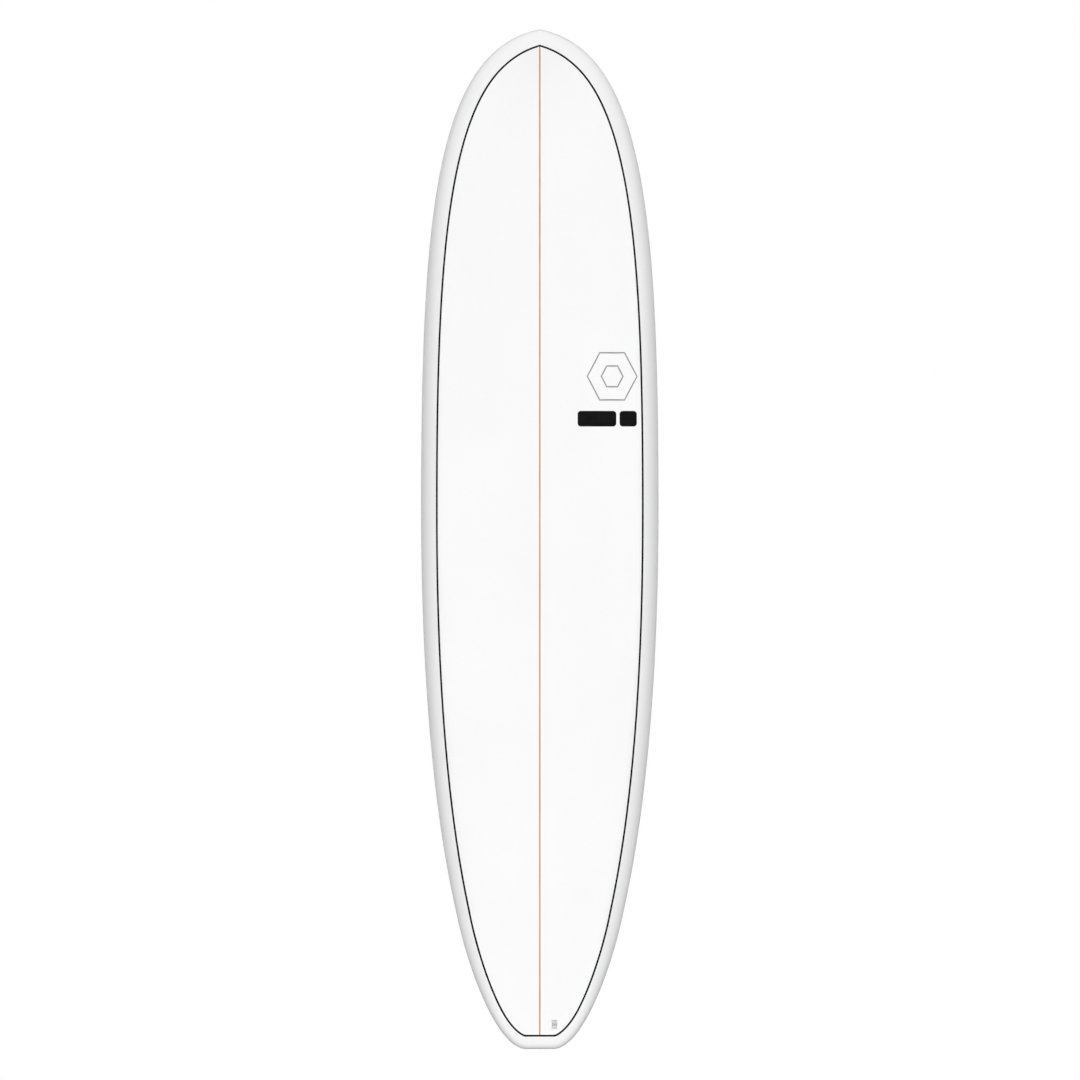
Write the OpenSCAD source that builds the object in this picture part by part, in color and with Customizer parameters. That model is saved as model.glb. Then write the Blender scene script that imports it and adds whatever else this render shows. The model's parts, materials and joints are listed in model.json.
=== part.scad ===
// Longboard surfboard with three removable fins.
// The board stands on its tail: +Z runs from tail to nose, the deck faces -Y, the bottom and the fins
// face +Y. The origin is the centre of the square tail end.

/* [Outline] */
// Length from the tail end to the nose tip
board_l = 2480; // [2440:1:2520]
// Half of the greatest width
half_w = 288.7; // [284:0.1:294]
// Height of the widest point above the tail end
wide_z = 1310; // [1290:1:1330]
// Half width of the straight tail end
tail_half = 32.2; // [28:0.1:36]
// Half width where the tail's curve passes into the side's curve
hip_half = 200.7; // [198:0.1:203]
// Height of that place above the tail end
hip_z = 320.4; // [310:0.1:330]
// Slope of the outline at that place, in degrees from the X axis
hip_slope = 78.1; // [77:0.1:79]

/* [Rocker and foil] */
// Lift of the tail towards the deck
tail_rocker = 65; // [50:1:80]
// Lift of the nose towards the deck
nose_rocker = 120; // [100:1:140]
// Height at which the bottom is flattest
flat_z = 1120; // [1050:10:1200]
// Greatest thickness
thick_mid = 80; // [76:0.5:84]
// Thickness near the tail end
thick_tail = 34; // [32:0.5:38]
// Thickness near the nose tip
thick_nose = 30; // [28:0.5:36]
// Part of the thickness that lies below the rail's widest line
rail_low = 0.4; // [0.35:0.01:0.45]

/* [Rails] */
// How far the deck's round reaches in from the edge, over most of the length
rail_reach = 55; // [45:1:60]
// The same at the tail end
rail_reach_tail = 14; // [12:1:18]
// The same at the nose
rail_reach_nose = 40; // [34:1:46]
// Height of the flat band round the edge
edge_band = 1.5; // [1:0.1:2]
// Height of the square tail end
tail_face = 10; // [8:0.5:12]

/* [Skin and pinline] */
// Thickness of the laminated skin
skin_t = 1.2; // [1:0.1:1.4]
// Width of the pinline
pin_w = 4.5; // [3.2:0.1:4.8]
// Distance of the pinline's middle from the outline, at the sides
pin_inset = 38.2; // [36:0.1:42]
// The same at the straight tail end
pin_inset_tail = 32.3; // [30:0.1:34]
// The same just beside the tail end
pin_inset_hip = 27; // [26:0.1:29]
// The same just beside the nose tip
pin_inset_shoulder = 42; // [40:0.1:43]
// The same at the nose tip
pin_inset_nose = 39; // [38:0.1:41]
// Thickness of the stringer
stringer_t = 3.6; // [3:0.1:4]

/* [Centre fin box] */
// Height of the middle of the box above the tail end
box_z = 300; // [285:1:310]
// Outer length of the box
box_l = 267; // [264:0.5:270]
// Outer width of the box
box_w = 26; // [25:0.5:28]
// Outer depth of the box
box_d = 24; // [23:0.5:26]
// Length of the slot
slot_l = 254; // [252:0.5:256]
// Width of the slot
slot_w = 10; // [9.8:0.05:10.2]
// Depth of the slot
slot_d = 19.5; // [19:0.1:20.5]
// Width of the track that crosses the slot
track_w = 18.5; // [18.2:0.05:19]
// Depth of the track's lip
track_top = 7.2; // [7:0.1:7.4]
// Height of the track
track_h = 5.2; // [5.1:0.05:5.4]
// Length of the mouth where a pin enters the track
mouth_l = 19; // [18:0.5:20]

/* [Side fin boxes] */
// Height of the middle of a side box above the tail end
side_z = 418; // [405:1:430]
// Distance of a side box from the middle of the board
side_x = 160; // [150:1:165]
// Angle at which the side fins point in towards the nose
toe_in = 3; // [0:0.5:4]
// Outer length of a side box
side_l = 136; // [134:0.5:140]
// Outer width of a side box
side_w = 17; // [16:0.5:18]
// Outer depth of a side box
side_d = 18; // [17:0.5:20]

/* [Fins] */
// Height of the centre fin above the bottom
fin_h = 178; // [160:1:190]
// Length of the centre fin's base
fin_base = 150; // [146:0.5:152]
// Thickness of the centre fin at its base
fin_t = 9.4; // [9:0.1:9.4]
// Height of a side fin above the bottom
side_fin_h = 88; // [80:1:95]
// Length of a side fin's base
side_fin_base = 104; // [100:0.5:106]
// Thickness of a side fin at its base
side_fin_t = 6.2; // [5.8:0.1:6.4]
// Angle at which the side fins lean out
cant = 5; // [0:0.5:7]

/* [Leash plug] */
// Distance of the plug from the middle of the board
plug_x = 35.6; // [34:0.1:37]
// Height of the plug above the tail end
plug_z = 59.5; // [58:0.1:62]
// Diameter of the plug's flange
plug_flange = 28; // [27:0.5:30]
// Diameter of the plug's cup
plug_cup = 25; // [24.5:0.1:26]
// Depth of the cup, outside
plug_d = 15; // [14:0.5:16]
// Width of the cup's opening
plug_w = 12.6; // [12:0.1:13]
// Length of the cup's opening
plug_l = 21; // [20:0.1:21.5]
// Radius of the opening's corners
plug_corner = 2.5; // [2:0.1:4]
// Diameter of the bar across the opening
bar_d = 3.2; // [3:0.1:3.5]

/* [Hidden] */
$fn = 48;
eps = 0.01;
sh = stringer_t / 2;

// The half outline is four Bezier curves in (x, z): the tail end, the tail's curve, the hip and the nose.
hip = [hip_half, hip_z];
hip_dir = [cos(hip_slope), sin(hip_slope)];
tail_arm = 74.5;
hip_arm_low = 117;
hip_arm_high = 71.4;
side_arm = 628;
nose_arm = 717.5;
tip_arm = [255.4, 51.2];
CURVES = [
    [[sh, 0], [sh + (tail_half - sh) / 3, 0], [tail_half - (tail_half - sh) / 3, 0], [tail_half, 0]],
    [[tail_half, 0], [tail_half + tail_arm, 0], hip - hip_arm_low * hip_dir, hip],
    [hip, hip + hip_arm_high * hip_dir, [half_w, wide_z - side_arm], [half_w, wide_z]],
    [[half_w, wide_z], [half_w, wide_z + nose_arm], [tip_arm[0], board_l - tip_arm[1]], [0, board_l]]
];
// Ribs along each of the four curves
RIBS_PER_CURVE = [1, 14, 10, 24];
// Ribs run from the outline to the spine, which stops short of both ends, so that they fan out there.
spine_low = 75;
spine_high = board_l - 115;
fan = 0.06;
// Points of a rib: shares of the way from the edge to the pinline, then from the pinline to the spine
RAIL_STEPS = [0, 0.03, 0.11, 0.26, 0.48, 0.74, 1];
FIELD_STEPS = [0, 0.33, 0.66, 1];
LOW_STEPS = [0, 0.03, 0.11, 0.26, 0.48, 1];
// Places of the main points in a rib's row, which runs from the deck's spine round the rail to the keel
J_PIN_IN = len(FIELD_STEPS) - 1;
J_PIN_OUT = len(FIELD_STEPS);
J_EDGE = len(FIELD_STEPS) + len(RAIL_STEPS) - 1;
J_KEEL = len(FIELD_STEPS) + len(RAIL_STEPS) + len(LOW_STEPS) + len(FIELD_STEPS) - 2;

// Share of the deck's height that its crown makes, and of the bottom's depth that its belly makes
crown = 0.2;
belly = 0.06;
low_reach = 45;
zone_tail = 450;
foil_power = 2.4;
tail_curve_power = 2.2;
nose_curve_power = 2.6;
band_zone = 250;
// Heights near the two ends over which the pinline's distance changes, and how it grows between them
tail_zone = 80;
tip_zone = 60;
hip_inset_power = 1.7;
nose_inset_power = 4;

function bez(p, t) =
    pow(1 - t, 3) * p[0] + 3 * pow(1 - t, 2) * t * p[1] + 3 * (1 - t) * t * t * p[2] + pow(t, 3) * p[3];
function bez_dir(p, t) =
    let (v = pow(1 - t, 2) * (p[1] - p[0]) + 2 * (1 - t) * t * (p[2] - p[1]) + t * t * (p[3] - p[2]))
    v / norm(v);
function mix(a, b, t) = a + (b - a) * t;
function ease(t) = let (c = max(0, min(1, t))) c * c * (3 - 2 * c);

// ---- lines along the board
// Height of the bottom's middle line in Y, so that the tail end's middle is at Y = 0
function lift(z) = z < flat_z
    ? tail_rocker * pow((flat_z - z) / flat_z, tail_curve_power)
    : nose_rocker * pow((z - flat_z) / (board_l - flat_z), nose_curve_power);
function bottom_y(z) = tail_rocker + rail_low * thick_tail - lift(z);
function bottom_slope(z) = atan((bottom_y(z + 1) - bottom_y(z - 1)) / 2);
function thickness(s) = s < wide_z
    ? mix(thick_mid, thick_tail, pow((wide_z - s) / (wide_z - spine_low), foil_power))
    : mix(thick_mid, thick_nose, pow((s - wide_z) / (spine_high - wide_z), foil_power));
function reach(z) = z < wide_z
    ? mix(rail_reach_tail, rail_reach, ease(z / zone_tail + 0.1))
    : mix(rail_reach, rail_reach_nose, ease((z - wide_z) / (board_l - wide_z)));
function band(z) = mix(edge_band, tail_face, pow(max(0, 1 - z / band_zone), 2));
function near_end(d, zone) = pow(max(0, 1 - d / zone), 2);
function inset(z) = z < wide_z
    ? mix(pin_inset_hip, pin_inset, 1 - pow(1 - z / wide_z, hip_inset_power))
        + (pin_inset_tail - pin_inset_hip) * near_end(z, tail_zone)
    : mix(pin_inset, pin_inset_shoulder, pow((z - wide_z) / (board_l - wide_z), nose_inset_power))
        + (pin_inset_nose - pin_inset_shoulder) * near_end(board_l - z, tip_zone);

// ---- ribs: [edge point, unit direction to the spine, length, spine height, slant]
function curve_of(q) = min(len(CURVES) - 1, floor(q));
function edge_at(q) = let (k = curve_of(q), p = bez(CURVES[k], q - k)) [max(p[0], sh), p[1]];
function rib(q) = let (
    k = curve_of(q),
    o = edge_at(q),
    along = bez_dir(CURVES[k], q - k),
    s = mix(spine_low, spine_high, o[1] / board_l) + fan * (o[0] - sh),
    v = [sh, s] - o,
    dir = v / norm(v))
    [o, dir, norm(v), s, dir * [-along[1], along[0]]];

function quarter(t) = let (c = 1 - min(1, t)) sqrt(1 - c * c);
// A point of the deck or the bottom at distance d from the edge along a rib
function surface_point(r, d, deck) = let (
    p = r[0] + r[1] * d,
    t = thickness(r[3]),
    low = rail_low * t,
    b = band(r[0][1]) / 2,
    from_spine = max(0, 1 - d / r[2]),
    shape = deck
        ? mix(quarter(d / reach(r[0][1])), 1 - pow(from_spine, 2.2), crown)
        : mix(quarter(d / min(low_reach, 1.2 * reach(r[0][1]))), 1 - pow(from_spine, 2), belly),
    y = bottom_y(p[1]) - low + (deck ? -b - (t - low - b) * shape : b + (low - b) * shape))
    [p[0], y, p[1]];

// Distance along a rib to a line beside the pinline's middle, which never dips below its straight tail part
function pin_distance(r, aside) = max(
    (inset(r[0][1]) + aside) / r[4],
    r[1][1] > 0 ? (pin_inset_tail + aside - r[0][1]) / r[1][1] : 0);

function rib_row(q) = let (
    r = rib(q),
    out = pin_distance(r, -pin_w / 2),
    in = pin_distance(r, pin_w / 2),
    n = len(RAIL_STEPS) - 1,
    m = len(FIELD_STEPS) - 1)
    concat(
        [for (k = [m:-1:0]) surface_point(r, mix(in, r[2], FIELD_STEPS[k]), true)],
        [for (k = [n:-1:0]) surface_point(r, out * RAIL_STEPS[k], true)],
        [for (f = LOW_STEPS) surface_point(r, out * f, false)],
        [for (k = [1:m]) surface_point(r, mix(out, r[2], FIELD_STEPS[k]), false)]);

RIB_Q = concat(
    [for (k = [0:len(CURVES) - 1]) for (i = [0:RIBS_PER_CURVE[k] - 1]) k + i / RIBS_PER_CURVE[k]],
    [len(CURVES)]);
N = len(RIB_Q) - 1;

// ---- outer and inner faces of the skin, as grids of points for the right half
OUTER = [for (q = RIB_Q) rib_row(q)];
function normal_at(i, j) = let (
    u = OUTER[min(N, i + 1)][j] - OUTER[max(0, i - 1)][j],
    v = OUTER[i][min(J_KEEL, j + 1)] - OUTER[i][max(0, j - 1)],
    c = cross(v, u),
    flat = i == 0 || i == N || j == 0 || j == J_KEEL ? [0, c[1], c[2]] : c)
    flat / norm(flat);
INNER = [for (i = [0:N]) [for (j = [0:J_KEEL]) OUTER[i][j] - skin_t * normal_at(i, j)]];

// ---- closed solids from grids
function mirror_pts(pts) = [for (p = pts) [-p[0], p[1], p[2]]];
function grid_pts(g, j0, j1) = [for (i = [0:N]) for (j = [j0:j1]) g[i][j]];
// Triangles of a grid with n points, from place j0 on, in each of the N + 1 rows; flip turns them over.
// The two cells in the corners of the middle plane are cut the other way, so that no triangle lies in it.
function grid_tris(n, base, flip, j0) = [
    for (i = [0:N - 1]) for (j = [0:n - 2]) for (s = [0, 1]) let (
        a = base + i * n + j,
        corner = (i == 0 && j + j0 == 0) || (i == N - 1 && j + j0 == J_KEEL - 1),
        t = corner
            ? (s == 0 ? [a, a + n, a + n + 1] : [a, a + n + 1, a + 1])
            : (s == 0 ? [a, a + n, a + 1] : [a + 1, a + n, a + n + 1]))
        flip ? reversed(t) : t];
// A ribbon of triangles between two equally long paths
function ribbon(a, b, closed = false) = let (m = len(a)) [
    for (k = [0:m - (closed ? 1 : 2)]) for (s = [0, 1]) let (l = (k + 1) % m)
        s == 0 ? [a[k], b[k], a[l]] : [b[k], b[l], a[l]]];
function row_ids(n, base, j0, j1, i) = [for (j = [j0:j1]) base + i * n + j];
function column_ids(n, base, j) = [for (i = [0:N]) base + i * n + j];
function reversed(v) = [for (k = [len(v) - 1:-1:0]) v[k]];
function shifted(v, by) = [for (e = v) e + by];
// The same triangles turned over, and on the grid whose points start so much later
function turned(faces, by = 0) = [for (f = faces) reversed(shifted(f, by))];

// Field of skin between places j0 and j1 on the right half, closed at all four edges
module skin_field(j0, j1) {
    n = j1 - j0 + 1;
    count = (N + 1) * n;
    rim = concat(
        row_ids(n, 0, 0, n - 1, 0),
        [for (i = [1:N]) i * n + n - 1],
        [for (j = [n - 2:-1:0]) N * n + j],
        [for (i = [N - 1:-1:1]) i * n]);
    polyhedron(
        concat(grid_pts(OUTER, j0, j1), grid_pts(INNER, j0, j1)),
        concat(
            grid_tris(n, 0, false, j0),
            grid_tris(n, count, true, j0),
            ribbon(shifted(rim, count), rim, true)));
}

// Path on the right half's grid that meets the left half: tail rib, keel, nose rib
function seam(n, base) = concat(
    row_ids(n, base, 0, n - 1, 0),
    [for (i = [1:N]) base + i * n + n - 1],
    [for (j = [n - 2:-1:0]) base + N * n + j]);

// Skin that wraps the bottom and both rails, from place j0 on the deck down to the keel
module skin_wrap(j0) {
    n = J_KEEL - j0 + 1;
    count = (N + 1) * n;
    right_out = 0;
    left_out = count;
    right_in = 2 * count;
    left_in = 3 * count;
    out_pts = grid_pts(OUTER, j0, J_KEEL);
    in_pts = grid_pts(INNER, j0, J_KEEL);
    rim = ribbon(column_ids(n, right_out, 0), column_ids(n, right_in, 0));
    nose = N * n;
    polyhedron(
        concat(out_pts, mirror_pts(out_pts), in_pts, mirror_pts(in_pts)),
        concat(
            grid_tris(n, right_out, false, j0),
            grid_tris(n, left_out, true, j0),
            ribbon(seam(n, left_out), seam(n, right_out)),
            grid_tris(n, right_in, true, j0),
            grid_tris(n, left_in, false, j0),
            ribbon(seam(n, right_in), seam(n, left_in)),
            rim,
            turned(rim, count),
            ribbon([left_out, right_out], [left_in, right_in]),
            ribbon(shifted([right_out, left_out], nose), shifted([right_in, left_in], nose))));
}

// The pinline's closed ring, one strip wide
module skin_ring(j0) {
    count = (N + 1) * 2;
    inner = 2 * count;
    ring_out = grid_pts(OUTER, j0, j0 + 1);
    ring_in = grid_pts(INNER, j0, j0 + 1);
    right = concat(
        grid_tris(2, 0, false, j0),
        grid_tris(2, inner, true, j0),
        turned(ribbon(column_ids(2, inner, 0), column_ids(2, 0, 0))),
        turned(ribbon(column_ids(2, 0, 1), column_ids(2, inner, 1))));
    tail = [0, 1, inner + 1, inner];
    nose = shifted(tail, 2 * N);
    polyhedron(
        concat(ring_out, mirror_pts(ring_out), ring_in, mirror_pts(ring_in)),
        concat(
            right,
            turned(right, count),
            ribbon(shifted(tail, count), tail, true),
            ribbon(nose, shifted(nose, count), true)));
}

// Place on the lower side of a rib's row that lies opposite place j on the deck side
extra_steps = len(RAIL_STEPS) - len(LOW_STEPS);
function opposite(j) = j <= J_PIN_IN ? J_KEEL - j : min(J_KEEL - J_PIN_IN, J_KEEL + 1 + extra_steps - j);
// Triangles across the end rib i, from the spine to the edge
function rib_face(n, i) = [
    for (j = [0:J_EDGE - 1]) each let (
        a = i * n + j,
        b = i * n + opposite(j),
        c = i * n + opposite(j + 1))
        b == c ? [[a, a + 1, b]] : [[a, a + 1, b], [a + 1, c, b]]];

// Everything inside the skin on the right half, with a flat face beside the stringer
module half_core() {
    n = J_KEEL + 1;
    middle = ribbon(column_ids(n, 0, 0), column_ids(n, 0, J_KEEL));
    tail_rib = rib_face(n, 0);
    nose_rib = [for (t = rib_face(n, N)) reversed(t)];
    polyhedron(
        grid_pts(INNER, 0, J_KEEL),
        concat(grid_tris(n, 0, false, 0), middle, tail_rib, nose_rib));
}

// Side view of a plate in the board's middle plane: flush with the deck between the pinline's inner
// edges when proud is true, else under the skin all round
function plane_pts(g, path) = [for (p = path) [g[p[0]][p[1]][1], g[p[0]][p[1]][2]]];
module middle_plate(proud, t) {
    deck_path = concat(
        [for (j = [J_PIN_IN:-1:0]) [0, j]],
        [for (i = [1:N]) [i, 0]],
        [for (j = [1:J_PIN_IN]) [N, j]]);
    low_path = concat(
        [for (j = [J_PIN_IN:J_KEEL]) [N, j]],
        [for (i = [N - 1:-1:0]) [i, J_KEEL]],
        [for (j = [J_KEEL - 1:-1:J_PIN_IN + (proud ? 0 : 1)]) [0, j]]);
    rotate([90, 0, 90]) linear_extrude(t, center = true)
        polygon(concat(plane_pts(proud ? OUTER : INNER, deck_path), plane_pts(INNER, low_path)));
}

// ---- places on the board
// The rib through a point of the board, found by halving
function rib_side(q, p) = let (r = rib(q), v = p - r[0]) r[1][0] * v[1] - r[1][1] * v[0];
function rib_search(p, lo, hi, n) = let (m = (lo + hi) / 2)
    n == 0 ? m : rib_side(m, p) < 0 ? rib_search(p, m, hi, n - 1) : rib_search(p, lo, m, n - 1);
function surface_y(x, z, deck) = let (
    q = rib_search([x, z], 1, 3.99, 30),
    r = rib(q))
    surface_point(r, norm([x, z] - r[0]), deck)[1];

// Frame on the bottom: local +Y points out of the board, local +Z along it towards the nose
module on_bottom(x, z, turn = 0) {
    translate([x, x == 0 ? bottom_y(z) : surface_y(abs(x), z, false), z])
        rotate([-bottom_slope(z), 0, 0]) rotate([0, turn, 0]) children();
}
// Frame on the deck: local +Z points out of the board, local +Y along it towards the nose
deck_step = 4;
plug_tilt = atan((surface_y(plug_x, plug_z + deck_step, true) - surface_y(plug_x, plug_z - deck_step, true))
    / (2 * deck_step));
plug_lean = atan((surface_y(plug_x + deck_step, plug_z, true) - surface_y(plug_x - deck_step, plug_z, true))
    / (2 * deck_step));
module on_deck_plug() {
    translate([plug_x, surface_y(plug_x, plug_z, true), plug_z])
        rotate([90 - plug_tilt, 0, 0]) rotate([0, plug_lean, 0]) children();
}

// Block from y0 to y1 in depth below the bottom, centred in X and Z
module sunk(w, l, y0, y1, z = 0) {
    translate([-w / 2, -y1, z - l / 2]) cube([w, y1 - y0, l]);
}

// ---- outer shapes that cut the pieces round them
box_recess = 1;
side_recess = 0.2;
// How far a cut reaches above the surface, and how much dense foam stands round and under a fitting
clear = 10;
around = 12;
side_around = 10;
under = 8;
plug_around = 8.5;
module center_box_body() { on_bottom(0, box_z) sunk(box_w, box_l, box_recess, box_d); }
module center_block_body() {
    on_bottom(0, box_z) sunk(box_w + 2 * around, box_l + 2 * around, -clear, box_d + under);
}
module side_box_body(side) { side_frame(side) sunk(side_w, side_l, side_recess, side_d); }
module side_block_body(side) {
    side_frame(side) sunk(side_w + 2 * side_around, side_l + 2 * side_around, -clear, side_d + under);
}
module side_frame(side) { on_bottom(side * side_x, side_z, -side * toe_in) children(); }
plug_flange_t = 1.6;
module plug_body() {
    on_deck_plug() {
        translate([0, 0, -plug_flange_t]) cylinder(d = plug_flange, h = plug_flange_t);
        translate([0, 0, -plug_d]) cylinder(d = plug_cup, h = plug_d);
    }
}
module plug_block_body() {
    on_deck_plug() translate([0, 0, -plug_d - under])
        cylinder(d = plug_cup + 2 * plug_around, h = plug_d + under + clear);
}

// ---- blank
module core_half(side) {
    difference() {
        if (side > 0) half_core(); else mirror([1, 0, 0]) half_core();
        center_block_body();
        side_block_body(side);
        if (side > 0) plug_block_body();
    }
}
module foam_core_left() { color("ivory") core_half(-1); }
module foam_core_right() { color("ivory") core_half(1); }
module stringer() {
    color("burlywood") difference() {
        middle_plate(true, stringer_t);
        center_block_body();
    }
}
// A block of dense foam fills its pocket up to the skin
module block_in(side) {
    intersection() {
        children();
        if (side > 0) half_core();
        else mirror([1, 0, 0]) half_core();
    }
}
module center_box_block() {
    color("khaki") difference() {
        union() {
            block_in(1) center_block_body();
            block_in(-1) center_block_body();
            intersection() {
                center_block_body();
                middle_plate(false, stringer_t);
            }
        }
        center_box_body();
    }
}
module side_block(side) {
    color("khaki") difference() {
        block_in(side) side_block_body(side);
        side_box_body(side);
    }
}
module left_box_block() { side_block(-1); }
module right_box_block() { side_block(1); }
module leash_plug_block() {
    color("khaki") difference() {
        block_in(1) plug_block_body();
        plug_body();
    }
}

// ---- skins
module deck_skin_right() {
    color("whitesmoke") difference() {
        skin_field(0, J_PIN_IN);
        plug_body();
    }
}
module deck_skin_left() { color("whitesmoke") mirror([1, 0, 0]) skin_field(0, J_PIN_IN); }
module rail_bottom_skin() {
    color("white") difference() {
        skin_wrap(J_PIN_OUT);
        on_bottom(0, box_z) sunk(box_w, box_l, -clear, box_d);
        for (side = [-1, 1]) side_frame(side) sunk(side_w, side_l, -clear, side_d);
    }
}
module pinline() { color("black") skin_ring(J_PIN_IN); }

// ---- centre fin box
tab_w = 9.4;
tab_d = 19;
pin_d = 4.76;
pin_l = 17.6;
pin_depth = track_top + track_h / 2;
pin_back = 7;
tongue_l = 17;
tongue_top = 2;
tongue_low = 6.8;
screw_d = 4;
screw_head_d = 8;
screw_head_h = 2.2;
screw_l = 12.5;
screw_z = fin_base / 2 + tongue_l / 2;
screw_hole_d = screw_d + 0.5;
driver_w = 1.2;
driver_d = 1.2;
plate_w = 17.4;
plate_l = 16;
plate_t = 2.6;
plate_gap = 0.1;
head_gap = 0.1;
thread_gap = 0.12;
through = 20;
module center_fin_box() {
    color("gainsboro") on_bottom(0, box_z) difference() {
        sunk(box_w, box_l, box_recess, box_d);
        sunk(slot_w, slot_l, -clear, slot_d);
        sunk(track_w, slot_l, track_top, track_top + track_h);
        sunk(track_w, mouth_l, -clear, track_top + eps);
    }
}

// ---- fins: a blade between a leading and a trailing curve, both in (z, y)
FOIL_STEPS = 10;
SPAN_STEPS = 14;
edge_t = 0.8;
tip_share = 0.97;
tip_thin = 0.32;
FOIL = [1.56, -0.338, -2.392, 1.17];
function foil(c) = FOIL[0] * sqrt(c) + FOIL[1] * c + FOIL[2] * c * c + FOIL[3] * c * c * c;
function scaled(list, b, h) = [for (p = list) [p[0] * b, p[1] * h]];
function chord_share(k) = (1 - cos(180 * k / FOIL_STEPS)) / 2;
// Half thicknesses of the two faces are th * left and th * right
function blade_section(lead, trail, t, th, left, right, lean) = let (
    a = bez(lead, t),
    b = bez(trail, t),
    tt = mix(th, tip_thin * th, t))
    concat(
        [for (k = [0:FOIL_STEPS]) let (c = chord_share(k), p = mix(a, b, c))
            [max(edge_t / 2, tt * right * foil(c)) + p[1] * lean, p[1], p[0]]],
        [for (k = [FOIL_STEPS:-1:0]) let (c = chord_share(k), p = mix(a, b, c))
            [-max(edge_t / 2, tt * left * foil(c)) + p[1] * lean, p[1], p[0]]]);
module blade(lead, trail, th, left = 1, right = 1, lean = 0) {
    n = 2 * (FOIL_STEPS + 1);
    pts = [for (i = [0:SPAN_STEPS])
        each blade_section(lead, trail, tip_share * i / SPAN_STEPS, th / 2, left, right, lean)];
    walls = [for (i = [0:SPAN_STEPS - 1]) for (j = [0:n - 1]) for (s = [0, 1]) let (
        a = i * n + j,
        b = i * n + (j + 1) % n)
        s == 0 ? [a, a + n, b] : [b, a + n, b + n]];
    half = FOIL_STEPS;
    caps = [for (base = [0, SPAN_STEPS * n]) for (k = [0:half - 1]) for (s = [0, 1]) let (
        a = base + k,
        b = base + n - 1 - k,
        t = s == 0 ? [a, a + 1, b] : [a + 1, b - 1, b])
        base == 0 ? t : reversed(t)];
    polyhedron(pts, concat(walls, caps));
}

fin_gap = 0.4;
// Edges of the centre fin as shares of half its base's length and of its height
FIN_LEAD = [[1, 0], [0.72, 0.42], [-0.05, 0.97], [-1.30, 1]];
FIN_TRAIL = [[-1, 0], [-0.80, 0.30], [-0.95, 0.72], [-1.42, 0.97]];
module center_fin() {
    b = fin_base / 2;
    color("dimgray") on_bottom(0, box_z) difference() {
        union() {
            translate([0, fin_gap, 0]) blade(scaled(FIN_LEAD, b, fin_h), scaled(FIN_TRAIL, b, fin_h), fin_t);
            translate([-tab_w / 2, -tab_d, -b]) cube([tab_w, tab_d + fin_gap + eps, fin_base]);
            translate([-tab_w / 2, -tongue_low, b - eps])
                cube([tab_w, tongue_low - tongue_top, tongue_l + eps]);
        }
        translate([0, -pin_depth, -b + pin_back]) rotate([0, 90, 0])
            cylinder(d = pin_d, h = through, center = true);
        translate([0, 0, screw_z]) rotate([90, 0, 0]) cylinder(d = screw_hole_d, h = through);
    }
}
module center_fin_pin() {
    color("goldenrod") on_bottom(0, box_z) translate([0, -pin_depth, pin_back - fin_base / 2])
        rotate([0, 90, 0]) cylinder(d = pin_d, h = pin_l, center = true);
}
module center_fin_screw() {
    color("silver") on_bottom(0, box_z) translate([0, -tongue_top + head_gap, screw_z]) rotate([90, 0, 0])
        difference() {
            union() {
                cylinder(d = screw_d, h = screw_l);
                translate([0, 0, -screw_head_h]) cylinder(d = screw_head_d, h = screw_head_h);
            }
            translate([-screw_head_d, -driver_w / 2, driver_d - screw_head_h - through])
                cube([2 * screw_head_d, driver_w, through]);
        }
}
module center_fin_nut_plate() {
    color("silver") on_bottom(0, box_z) difference() {
        sunk(plate_w, plate_l, track_top + plate_gap, track_top + plate_gap + plate_t, screw_z);
        translate([0, 0, screw_z]) rotate([90, 0, 0]) cylinder(d = screw_d + thread_gap, h = through);
    }
}

// ---- side fins and their boxes
side_tab_w = 7.4;
side_tab_d = 13;
side_slot_w = 7.6;
side_slot_d = 13.4;
toe_l = 11;
toe_top = 9;
toe_gap = 0.2;
end_gap = 0.2;
toe_room = 1;
grub_d = 5;
grub_l = 8;
grub_depth = 0.8;
socket_d = 2.9;
socket_depth = 3;
grub_z = side_fin_base / 2 + toe_l / 2;
module side_box(side) {
    color("gainsboro") side_frame(side) difference() {
        sunk(side_w, side_l, side_recess, side_d);
        sunk(side_slot_w, side_fin_base + 2 * end_gap, -clear, side_slot_d);
        sunk(side_slot_w, toe_l + toe_room, toe_top - toe_gap, side_slot_d, grub_z);
        translate([0, clear, grub_z]) rotate([90, 0, 0])
            cylinder(d = grub_d + thread_gap, h = toe_top + clear);
    }
}
module left_fin_box() { side_box(-1); }
module right_fin_box() { side_box(1); }
// Edges of a side fin, and the shares of its half thickness that its inner and outer faces have
SIDE_LEAD = [[1, 0], [0.72, 0.40], [-0.05, 0.96], [-0.98, 1]];
SIDE_TRAIL = [[-1, 0], [-0.85, 0.28], [-0.80, 0.70], [-1.12, 0.97]];
inner_share = 0.25;
outer_share = 1.6;
side_fin_gap = 0.2;
module side_fin(side) {
    b = side_fin_base / 2;
    h = side_fin_h;
    left = side > 0 ? inner_share : outer_share;
    right = side > 0 ? outer_share : inner_share;
    color("dimgray") side_frame(side) union() {
        translate([0, side_fin_gap, 0]) blade(scaled(SIDE_LEAD, b, h), scaled(SIDE_TRAIL, b, h),
            side_fin_t, left, right, side * tan(cant));
        translate([-side_tab_w / 2, -side_tab_d, -b])
            cube([side_tab_w, side_tab_d + side_fin_gap + eps, 2 * b]);
        sunk(side_tab_w, toe_l, toe_top + toe_gap, side_tab_d, grub_z - eps);
    }
}
module left_fin() { side_fin(-1); }
module right_fin() { side_fin(1); }
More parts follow.
